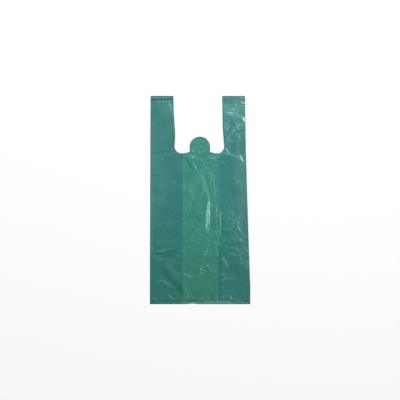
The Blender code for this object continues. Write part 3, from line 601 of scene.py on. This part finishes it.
def mouthHalf(strap, way):
    # down the cut edge of a strap, round the corner, along the lip and up to the tab
    corner, fillet = bag["mouthCorner"], bag["tabFillet"]
    cornerTop = lip + corner
    side = strap(cornerTop)
    points = [(strap(y), y) for y in np.linspace(top, cornerTop, grid["strapPoints"])[:-1]]
    for angle in np.linspace(0.0, math.pi / 2, grid["cornerPoints"]):
        points.append((side - way * corner * (1.0 - math.cos(angle)), cornerTop - corner * math.sin(angle)))
    cornerEnd = side - way * corner
    tabSide = bag["tabOffset"] + way * tabRadius
    lipEnd = tabSide + way * fillet
    for share in np.linspace(0.0, 1.0, grid["lipPoints"])[1:-1]:
        points.append((cornerEnd + (lipEnd - cornerEnd) * share, lip + bag["lipRise"] * share ** 2))
    for angle in np.linspace(0.0, math.pi / 2, grid["filletPoints"]):
        points.append((tabSide + way * fillet * (1.0 - math.sin(angle)),
                       lip + bag["lipRise"] + fillet * (1.0 - math.cos(angle))))
    return points


def mouthPath():
    # the cut edge from the top of the right handle round to the top of the left one
    tab = [(bag["tabOffset"] + tabRadius * math.cos(angle), tabCentre + tabRadius * math.sin(angle))
           for angle in np.linspace(0.0, math.pi, grid["tabPoints"])]
    return mouthHalf(rightStrap, 1) + tab + mouthHalf(leftStrap, -1)[::-1]


def bottomLine(start, end, pitch):
    # the bottom edge, with the shallow bite out of it
    line = []
    for x in np.linspace(start, end, max(1, round((end - start) / pitch)) + 1):
        share = (x - bag["nickOffset"]) / bag["nickWidth"] + 0.5
        bite = bag["nickDepth"] * (math.sin(math.pi * share) - bag["nickShallow"]) if 0.0 < share < 1.0 else 0.0
        line.append((x, bottom + max(0.0, bite)))
    return line


def topLine(start, end, pitch):
    return [(x, top) for x in np.linspace(start, end, max(1, round(abs(end - start) / pitch)) + 1)]


# outlines and fold strips share these heights, so that their points meet
stations = np.linspace(bottom, top, round(bag["length"] / grid["fold"]) + 1)


def gather(rows, same=1e-6):
    # joins polylines into one outline without repeated points
    outline = []
    for row in rows:
        for point in row:
            if not outline or math.dist(outline[-1], point) > same:
                outline.append((float(point[0]), float(point[1])))
    if math.dist(outline[0], outline[-1]) < same:
        outline.pop()
    return outline


def panelOutline(pitch):
    inLeft = [(leftEdge(y) + foldRadius * fullness(y), y) for y in stations]
    inRight = [(rightEdge(y) - foldRadius * fullness(y), y) for y in stations]
    mouth = mouthPath()
    return gather([bottomLine(inLeft[0][0], inRight[0][0], pitch), inRight,
                   topLine(inRight[-1][0], mouth[0][0], pitch), mouth,
                   topLine(mouth[-1][0], inLeft[-1][0], pitch), inLeft[::-1]])


def leafOutline(pitch, way):
    # one leaf of a gusset, cut by the same die as the panels
    edge, fold, strap = sideLines[way]
    margin = grid["margin"]
    outer = [(edge(y) - way * foldRadius * fullness(y), y) for y in stations]
    inner = [(fold(y) + way * foldRadius * fullness(y), y) for y in stations if y < lip - margin]
    crossing = inner[-1][0]
    mouth = [point for point in mouthHalf(strap, way)
             if way * (point[0] - crossing) > margin and point[1] > lip - 2 * margin]
    inner.append((crossing, mouth[-1][1]))
    base = bottomLine(*sorted((outer[0][0], inner[0][0])), pitch)[::way]
    return gather([base, outer, topLine(outer[-1][0], mouth[0][0], pitch), mouth, inner[::-1]])


def fillOutline(outline, pitch):
    # triangles of one size inside an outline
    border = np.array(outline)
    (left, low), (right, high) = border.min(axis=0), border.max(axis=0)
    tree = KDTree(len(outline))
    for index, (x, y) in enumerate(outline):
        tree.insert((x, y, 0.0), index)
    tree.balance()
    rowStep = pitch * math.sqrt(3.0) / 2
    points = [Vector(point) for point in outline]
    for row in range(1, int((high - low) / rowStep) + 1):
        y = low + row * rowStep
        start = left + 0.5 * pitch * (row % 2)
        for column in range(int((right - start) / pitch) + 1):
            x = start + column * pitch
            # no points in the open mouth
            besideTab = abs(x) > tabRadius + grid["besideTab"]
            if lip + grid["emptyAbove"] < y and leftStrap(y) < x < rightStrap(y) and besideTab:
                continue
            if y > top - grid["emptyTop"] and abs(x) < grid["emptyHalf"]:
                continue
            if tree.find((x, y, 0.0))[2] > grid["clear"] * pitch:
                points.append(Vector((x, y)))
    made = delaunay_2d_cdt(points, [], [list(range(len(outline)))], 1, 1e-7)
    flat, triangles = made[0], made[2]
    used = sorted({index for triangle in triangles for index in triangle})
    place = {index: new for new, index in enumerate(used)}
    plan = np.array([(flat[index].x, flat[index].y) for index in used])
    return plan, [[place[index] for index in triangle] for triangle in triangles]


def foldStrip(lineAt, upper, lower, way, last):
    # the rounded fold between two layers, from the upper one to the lower one
    verts, faces = [], []
    count = grid["foldFacets"] + 1
    rows = [y for y in stations if y <= last + 1e-9]
    for y in rows:
        high, low = layerLevel(y, upper), layerLevel(y, lower)
        radius = (high - low) / 2
        for step in range(count):
            angle = math.pi * (0.5 - step / grid["foldFacets"])
            verts.append((lineAt(y) + way * radius * (math.cos(angle) - 1.0), y,
                          (high + low) / 2 + radius * math.sin(angle)))
    for row in range(len(rows) - 1):
        for step in range(count - 1):
            a = row * count + step
            faces.append([a, a + 1, a + count + 1, a + count])
    return verts, faces


print("bag film: meshing the layers")
allVerts, allFaces, allTone = [], [], []


def addSheet(verts, faces, tone=None):
    base = len(allVerts)
    allVerts.extend(tuple(map(float, vert)) for vert in verts)
    allFaces.extend([index + base for index in face] for face in faces)
    allTone.extend(tone if tone is not None else [0.0] * len(verts))


plan, triangles = fillOutline(panelOutline(grid["frontEdge"]), grid["front"])
level, tone = frontLevel(plan[:, 0], plan[:, 1])
addSheet(np.column_stack((plan, level)), triangles, list(tone))
print("  front panel:", len(triangles), "triangles, highest point", round(float(level.max()) / mm, 2), "mm")

plan, triangles = fillOutline(panelOutline(grid["backEdge"]), grid["back"])
addSheet(np.column_stack((plan, backRelief(plan[:, 0], plan[:, 1]))), triangles)
print("  back panel:", len(triangles), "triangles")

# each gusset: two leaves, its two outer folds and its inner fold
for way, (edge, fold, _) in sideLines.items():
    plan, triangles = fillOutline(leafOutline(grid["leafEdge"], way), grid["leaf"])
    for layer in (1, 2):
        addSheet(np.column_stack((plan, layerLevel(plan[:, 1], layer))), triangles)
    addSheet(*foldStrip(edge, 3, 2, way, top))
    addSheet(*foldStrip(edge, 1, 0, way, top))
    addSheet(*foldStrip(fold, 2, 1, -way, lip - grid["margin"]))

filmMesh = bpy.data.meshes.new("bagFilm")
filmMesh.from_pydata(allVerts, [], allFaces)
# each point's tone, with its painted highlights and painted shade, goes to the material
toneWithPaintedLight = filmMesh.attributes.new("toneWithPaintedLight", "FLOAT", "POINT")
toneWithPaintedLight.data.foreach_set("value", allTone)
work = bmesh.new()
work.from_mesh(filmMesh)
bmesh.ops.remove_doubles(work, verts=work.verts, dist=grid["weld"])
bmesh.ops.recalc_face_normals(work, faces=work.faces)
# the normals point out of the bag
highest = max(work.faces, key=lambda face: face.calc_center_median().z)
if highest.normal.z < 0.0:
    bmesh.ops.reverse_faces(work, faces=work.faces)
work.to_mesh(filmMesh)
work.free()
filmMesh.shade_smooth()
bagFilm = bpy.data.objects.new("bagFilm", filmMesh)
bpy.context.collection.objects.link(bagFilm)
print("  whole bag:", len(filmMesh.polygons), "faces")


def putValue(tree, socket, value):
    if isinstance(value, bpy.types.NodeSocket):
        tree.links.new(value, socket)
    else:
        socket.default_value = value


def addNode(tree, kind, values=None, **settings):
    node = tree.nodes.new(kind)
    for name, value in settings.items():
        setattr(node, name, value)
    for name, value in (values or {}).items():
        putValue(tree, node.inputs[name], value)
    return node


def calc(tree, operation, *values, clamp=False):
    node = addNode(tree, "ShaderNodeMath", dict(enumerate(values)), operation=operation, use_clamp=clamp)
    return node.outputs[0]


def remap(tree, value, source, target=(0.0, 1.0), **settings):
    names = ("Value", "From Min", "From Max", "To Min", "To Max")
    values = dict(zip(names, (value, *source, *target)))
    return addNode(tree, "ShaderNodeMapRange", values, **settings).outputs["Result"]


def band(tree, value, low, high, soft):
    # 1 between low and high, fading out over soft
    rise = remap(tree, value, (low - soft, low), interpolation_type="SMOOTHSTEP")
    fall = remap(tree, value, (high, high + soft), (1.0, 0.0), interpolation_type="SMOOTHSTEP")
    return calc(tree, "MULTIPLY", rise, fall)


def noise(tree, vector, scale, detail, roughness=0.5):
    # a scale for each axis stretches the noise
    if isinstance(scale, tuple):
        vector = addNode(tree, "ShaderNodeMapping", {"Vector": vector, "Scale": scale}).outputs[0]
        scale = 1.0
    return addNode(tree, "ShaderNodeTexNoise", {"Vector": vector, "Scale": scale, "Detail": detail,
                                                "Roughness": roughness}).outputs


def addSpread(tree, field, amount, base):
    # base plus a noise field about its middle
    return calc(tree, "MULTIPLY_ADD", calc(tree, "SUBTRACT", field, 0.5), amount, base)


def mixColour(tree, factor, first, second, blend="MIX"):
    node = addNode(tree, "ShaderNodeMix", data_type="RGBA", blend_type=blend)
    for socket, value in ((0, factor), (6, first), (7, second)):
        putValue(tree, node.inputs[socket], value)
    return node.outputs[2]


# finish of the film: four layers deep at the sides and two in the middle
film = dict(
    sides=(0.0220, 0.163, 0.1410, 1.0), middle=(0.0265, 0.198, 0.149, 1.0),
    whitenedAndHighlight=(0.30, 0.63, 0.555, 1.0), glint=(0.62, 0.80, 0.76, 1.0),
    pressed=(0.008, 0.060, 0.052, 1.0), sealedAndHighlight=(0.28, 0.48, 0.39, 1.0),
    specularTint=(0.78, 1.0, 1.0, 1.0), roughness=0.23, roughnessSpread=0.08, ior=1.54, specular=0.5,
    blotch=0.080, blotchScale=26.0, streak=0.040, streakScale=(330.0, 7.0, 1.0), speck=0.30, speckScale=230.0,
    hueScale=34.0, redSpread=0.62, redSpreadLeft=1.10, redFall=1.0, blueSpread=0.34, blueRise=0.16,
    turning=(0.075, -0.04), turningOver=(0.052, 0.118),
    whiteningAndHighlight=0.75, grain=(0.8, 0.6), glintFrom=(0.75, 1.25),
    crinkle=0.00012, crinkleScale=240.0, crinkleStrength=0.6, drawnLines=0.25,
)

# tones at the welds, the cut rims and the dark lines beside the inner folds. The pairs with places are
# metres from the weld line, the end of the bag or the fold
seams = dict(
    foldSoft=0.0005, lineSoft=0.0005, skirtSoft=0.0006, rimSoft=0.0008,
    topLine=(-0.0024, -0.0004), bottomLine=(0.0008, 0.0028),
    topSkirt=(0.0007, -0.0024), bottomSkirt=(0.0030, -0.0002), topRim=-0.0014, bottomRim=0.0018,
    leftFoldLine=(-0.0022, -0.0008), rightFoldLine=(0.0010, 0.0024), foldLine=-0.05,
    topWeldLine=0.56, fainterRight=0.45, fainterOver=0.06, bottomWeldLine=0.34, skirt=-0.04, rim=0.26,
    sealAndHighlight=0.50, sealLeft=0.6, sealOver=0.07, dashScale=(400.0, 160.0, 1.0), dashes=(0.46, 0.66),
    mattLines=0.85, mattFolds=1.4,
)


def makeFilm():
    material = bpy.data.materials.new("green_film")
    material.use_nodes = True
    tree = material.node_tree
    shader = tree.nodes["Principled BSDF"]
    place = addNode(tree, "ShaderNodeTexCoord").outputs["Object"]
    parts = addNode(tree, "ShaderNodeSeparateXYZ", {0: place})
    x, y = parts.outputs["X"], parts.outputs["Y"]

    # where the gussets lie under the panel
    lean = bag["foldLean"] / bag["length"]
    rightX = calc(tree, "MULTIPLY_ADD", y, lean, x)
    rightPlace = halfWidth - bag["rightGusset"] + lean * bottom
    leftPlace = leftFold(0.0)
    onLeft = band(tree, x, -far, leftPlace, seams["foldSoft"])
    onRight = band(tree, rightX, rightPlace, far, seams["foldSoft"])
    deep = calc(tree, "MAXIMUM", onLeft, onRight)
    colour = mixColour(tree, deep, film["middle"], film["sides"])

    # uneven gauge: soft blotches, faint lines along the tube and fine specks
    blotches = noise(tree, place, film["blotchScale"], 3.0, 0.6)["Fac"]
    lines = noise(tree, place, film["streakScale"], 2.0)["Fac"]
    fine = noise(tree, place, film["speckScale"], 3.0, 0.65)["Fac"]
    tone = calc(tree, "MULTIPLY_ADD", blotches, 2 * film["blotch"], 1.0 - film["blotch"])
    tone = addSpread(tree, lines, 2 * film["streak"], tone)
    tone = addSpread(tree, fine, 2 * film["speck"], tone)

    # the right side turns away from the light towards its cut edge
    turning = remap(tree, x, film["turningOver"], film["turning"])
    tone = calc(tree, "MULTIPLY_ADD", turning, onRight, tone)

    # dark weld lines, skirts and rims, and the dark line of each inner fold. The weld lines sit at the inner
    # edge of each weld: partly fused film, partly painted shade on its puckered side
    def seam(value, name, first, last, soft):
        return band(tree, value, first + seams[name][0], last + seams[name][1], seams[soft])

    topLineBand = seam(y, "topLine", topWeld, topWeld, "lineSoft")
    bottomLineBand = seam(y, "bottomLine", bottomWeld, bottomWeld, "lineSoft")
    skirts = calc(tree, "MAXIMUM", seam(y, "topSkirt", topWeld, top, "skirtSoft"),
                  seam(y, "bottomSkirt", bottom, bottomWeld, "skirtSoft"))
    rims = calc(tree, "MAXIMUM", band(tree, y, top + seams["topRim"], far, seams["rimSoft"]),
                band(tree, y, -far, bottom + seams["bottomRim"], seams["rimSoft"]))
    foldLines = calc(tree, "MAXIMUM", seam(x, "leftFoldLine", leftPlace, leftPlace, "skirtSoft"),
                     seam(rightX, "rightFoldLine", rightPlace, rightPlace, "skirtSoft"))
    endTone = calc(tree, "SUBTRACT", calc(tree, "MULTIPLY", skirts, seams["skirt"]),
                   calc(tree, "MULTIPLY", rims, seams["rim"]))
    tone = calc(tree, "ADD", endTone, tone)
    fainter = remap(tree, x, (-seams["fainterOver"], seams["fainterOver"]),
                    (-seams["topWeldLine"], -seams["fainterRight"] * seams["topWeldLine"]))
    tone = calc(tree, "MULTIPLY_ADD", topLineBand, fainter, tone)
    tone = calc(tree, "MULTIPLY_ADD", bottomLineBand, -seams["bottomWeldLine"], tone)
    tone = calc(tree, "MULTIPLY_ADD", foldLines, seams["foldLine"], tone)

    # the hue wanders too, most on the left side, but not in the skirts and rims
    hues = noise(tree, place, film["hueScale"], 3.0, 0.6)["Color"]
    split = addNode(tree, "ShaderNodeSeparateColor", {0: hues}).outputs
    away = calc(tree, "SUBTRACT", 1.0, calc(tree, "MAXIMUM", skirts, rims))
    red = calc(tree, "MULTIPLY", calc(tree, "SUBTRACT", split[0], 0.5), away)
    spread = calc(tree, "MULTIPLY_ADD", onLeft, film["redSpreadLeft"] - film["redSpread"], film["redSpread"])
    red = calc(tree, "MULTIPLY_ADD", red, spread, tone)
    falling = calc(tree, "MULTIPLY_ADD", deep, film["redFall"], -film["redFall"])     # only in the middle
    red = calc(tree, "MULTIPLY_ADD", y, falling, red)
    blue = addSpread(tree, split[1], film["blueSpread"], tone)
    blue = calc(tree, "MULTIPLY_ADD", y, film["blueRise"], blue)
    tint = addNode(tree, "ShaderNodeCombineColor", {0: red, 1: tone, 2: blue}).outputs[0]
    colour = mixColour(tree, 1.0, colour, tint, "MULTIPLY")

    # short pale dashes where the heat puckered the skirts, partly sealed film and partly painted highlight on
    # the puckers
    cells = noise(tree, place, seams["dashScale"], 1.0)["Fac"]
    dashes = calc(tree, "MULTIPLY", remap(tree, cells, seams["dashes"]), skirts)
    stronger = remap(tree, x, (-seams["sealOver"], seams["sealOver"]),
                     (seams["sealLeft"] * seams["sealAndHighlight"], seams["sealAndHighlight"]))
    colour = mixColour(tree, calc(tree, "MULTIPLY", dashes, stronger), colour, film["sealedAndHighlight"])

    # film bent hard turns pale along the crease, with painted highlights among the pale marks, and the dark
    # marks are pressed film and painted shade
    mark = addNode(tree, "ShaderNodeAttribute", attribute_name="toneWithPaintedLight").outputs["Fac"]
    grain = calc(tree, "MULTIPLY_ADD", fine, *film["grain"])
    paleAndHighlight = calc(tree, "MULTIPLY", calc(tree, "MAXIMUM", mark, 0.0), grain, clamp=True)
    colour = mixColour(tree, calc(tree, "MULTIPLY", paleAndHighlight, film["whiteningAndHighlight"]), colour, film["whitenedAndHighlight"])
    # the strongest pale marks go nearly white: painted glints
    colour = mixColour(tree, remap(tree, mark, film["glintFrom"]), colour, film["glint"])
    darkAndShade = calc(tree, "MULTIPLY", calc(tree, "MINIMUM", mark, 0.0), -1.0, clamp=True)
    colour = mixColour(tree, darkAndShade, colour, film["pressed"])
    tree.links.new(colour, shader.inputs["Base Color"])

    # the weld lines and the dark marks, pressed folds and painted shade alike, don't shine
    matt = calc(tree, "MULTIPLY", calc(tree, "MAXIMUM", topLineBand, bottomLineBand), seams["mattLines"])
    matt = calc(tree, "MAXIMUM", matt, calc(tree, "MULTIPLY", darkAndShade, seams["mattFolds"]), clamp=True)
    shine = calc(tree, "MULTIPLY_ADD", matt, -film["specular"], film["specular"])
    tree.links.new(shine, shader.inputs["Specular IOR Level"])

    rough = calc(tree, "MULTIPLY_ADD", blotches, film["roughnessSpread"],
                 film["roughness"] - 0.5 * film["roughnessSpread"])
    tree.links.new(rough, shader.inputs["Roughness"])
    shader.inputs["IOR"].default_value = film["ior"]
    shader.inputs["Specular Tint"].default_value = film["specularTint"]
    shader.inputs["Metallic"].default_value = 0.0

    crumple = noise(tree, place, film["crinkleScale"], 4.0, 0.6)["Fac"]
    height = calc(tree, "MULTIPLY_ADD", lines, film["drawnLines"], crumple)
    bump = addNode(tree, "ShaderNodeBump", {"Height": height, "Distance": film["crinkle"],
                                            "Strength": film["crinkleStrength"]})
    tree.links.new(bump.outputs[0], shader.inputs["Normal"])
    material.diffuse_color = film["sides"]
    return material


print("bag film: material")
bagFilm.data.materials.append(makeFilm())
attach(bagFilm, "root")
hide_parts("carrier_bag")

print("stage, lights and camera")
stage = dict(floorLevel=-0.0002, rings=(0.6, 1.2), flat=2.6, turn=1.6, turnPoints=10, wallTop=4.2, sides=72,
             glow=0.75, mirrored=0.65, paint=0.22)
white = (1.0, 1.0, 1.0, 1.0)


def makeStage():
    # a round floor that turns up into a wall, so every view has the same pale background
    flat, turn, sides = stage["flat"], stage["turn"], stage["sides"]
    profile = [(radius, 0.0) for radius in (*stage["rings"], flat)]
    for angle in np.linspace(0.0, math.pi / 2, stage["turnPoints"])[1:]:
        profile.append((flat + turn * math.sin(angle), turn * (1.0 - math.cos(angle))))
    profile.append((flat + turn, stage["wallTop"]))
    verts = [(0.0, 0.0, stage["floorLevel"])]
    for radius, height in profile:
        for side in range(sides):
            angle = 2.0 * math.pi * side / sides
            verts.append((radius * math.cos(angle), radius * math.sin(angle), height + stage["floorLevel"]))
    faces = [(0, 1 + side, 1 + (side + 1) % sides) for side in range(sides)]
    for ring in range(len(profile) - 1):
        for side in range(sides):
            a, b = 1 + ring * sides + side, 1 + ring * sides + (side + 1) % sides
            faces.append((a, a + sides, b + sides, b))
    mesh = bpy.data.meshes.new("studioFloor")
    mesh.from_pydata(verts, [], faces)
    mesh.shade_smooth()
    floor = bpy.data.objects.new("studioFloor", mesh)
    bpy.context.collection.objects.link(floor)
    paper = bpy.data.materials.new("white_paper")
    paper.use_nodes = True
    tree = paper.node_tree
    tree.nodes.clear()
    rays = addNode(tree, "ShaderNodeLightPath").outputs
    mirrored = calc(tree, "MAXIMUM", rays["Is Glossy Ray"], rays["Is Transmission Ray"])
    seen = calc(tree, "MAXIMUM", rays["Is Camera Ray"], calc(tree, "MULTIPLY", mirrored, stage["mirrored"]))
    diffuse = addNode(tree, "ShaderNodeBsdfDiffuse", {"Color": (stage["paint"],) * 3 + (1.0,)})
    glow = addNode(tree, "ShaderNodeEmission", {"Color": white,
                                                "Strength": calc(tree, "MULTIPLY", seen, stage["glow"])})
    both = addNode(tree, "ShaderNodeAddShader", {0: diffuse.outputs[0], 1: glow.outputs[0]})
    addNode(tree, "ShaderNodeOutputMaterial", {"Surface": both.outputs[0]})
    mesh.materials.append(paper)
    return floor


makeStage()

# softboxes, all turned to the middle of the bag: place, width, depth, watts
lights = dict(
    topStrip=((0.15, 0.95, 1.25), 1.10, 0.26, 12.0),
    rightStrip=((1.25, 0.35, 1.80), 0.36, 1.30, 20.5),
    topGlow=((0.30, 0.85, 2.40), 1.10, 0.80, 4.3),
    leftGlow=((-0.75, 0.30, 2.40), 0.50, 1.10, 2.4),
    rightGlow=((0.75, 0.05, 2.40), 0.45, 0.80, 0.9),
    bottomGlow=((0.20, -0.85, 2.40), 1.00, 0.50, 0.45),
    leftBox=((-1.30, 0.60, 1.20), 1.20, 1.00, 11.4),
)
worldStrength = 0.25
for name, (place, width, depth, watts) in lights.items():
    data = bpy.data.lights.new(name, "AREA")
    data.shape = "RECTANGLE"
    data.size, data.size_y = width, depth
    data.energy = watts
    lamp = bpy.data.objects.new(name, data)
    lamp.location = place
    lamp.rotation_euler = (-Vector(place)).to_track_quat("-Z", "Y").to_euler()
    bpy.context.collection.objects.link(lamp)

world = bpy.data.worlds.new("studio")
world.use_nodes = True
world.node_tree.nodes["Background"].inputs["Color"].default_value = white
world.node_tree.nodes["Background"].inputs["Strength"].default_value = worldStrength
bpy.context.scene.world = world

camera = dict(height=2.0, frameWidth=1.01824, offset=(-0.00013, 0.00010), sensor=36.0, clipEnd=100.0)
lens = bpy.data.cameras.new("photoCamera")
lens.sensor_width = camera["sensor"]
lens.lens = camera["sensor"] * camera["height"] / camera["frameWidth"]
lens.clip_end = camera["clipEnd"]
photoCamera = bpy.data.objects.new("photoCamera", lens)
photoCamera.location = (*camera["offset"], camera["height"])
bpy.context.collection.objects.link(photoCamera)
bpy.context.scene.camera = photoCamera
bpy.context.scene.view_settings.view_transform = "Standard"
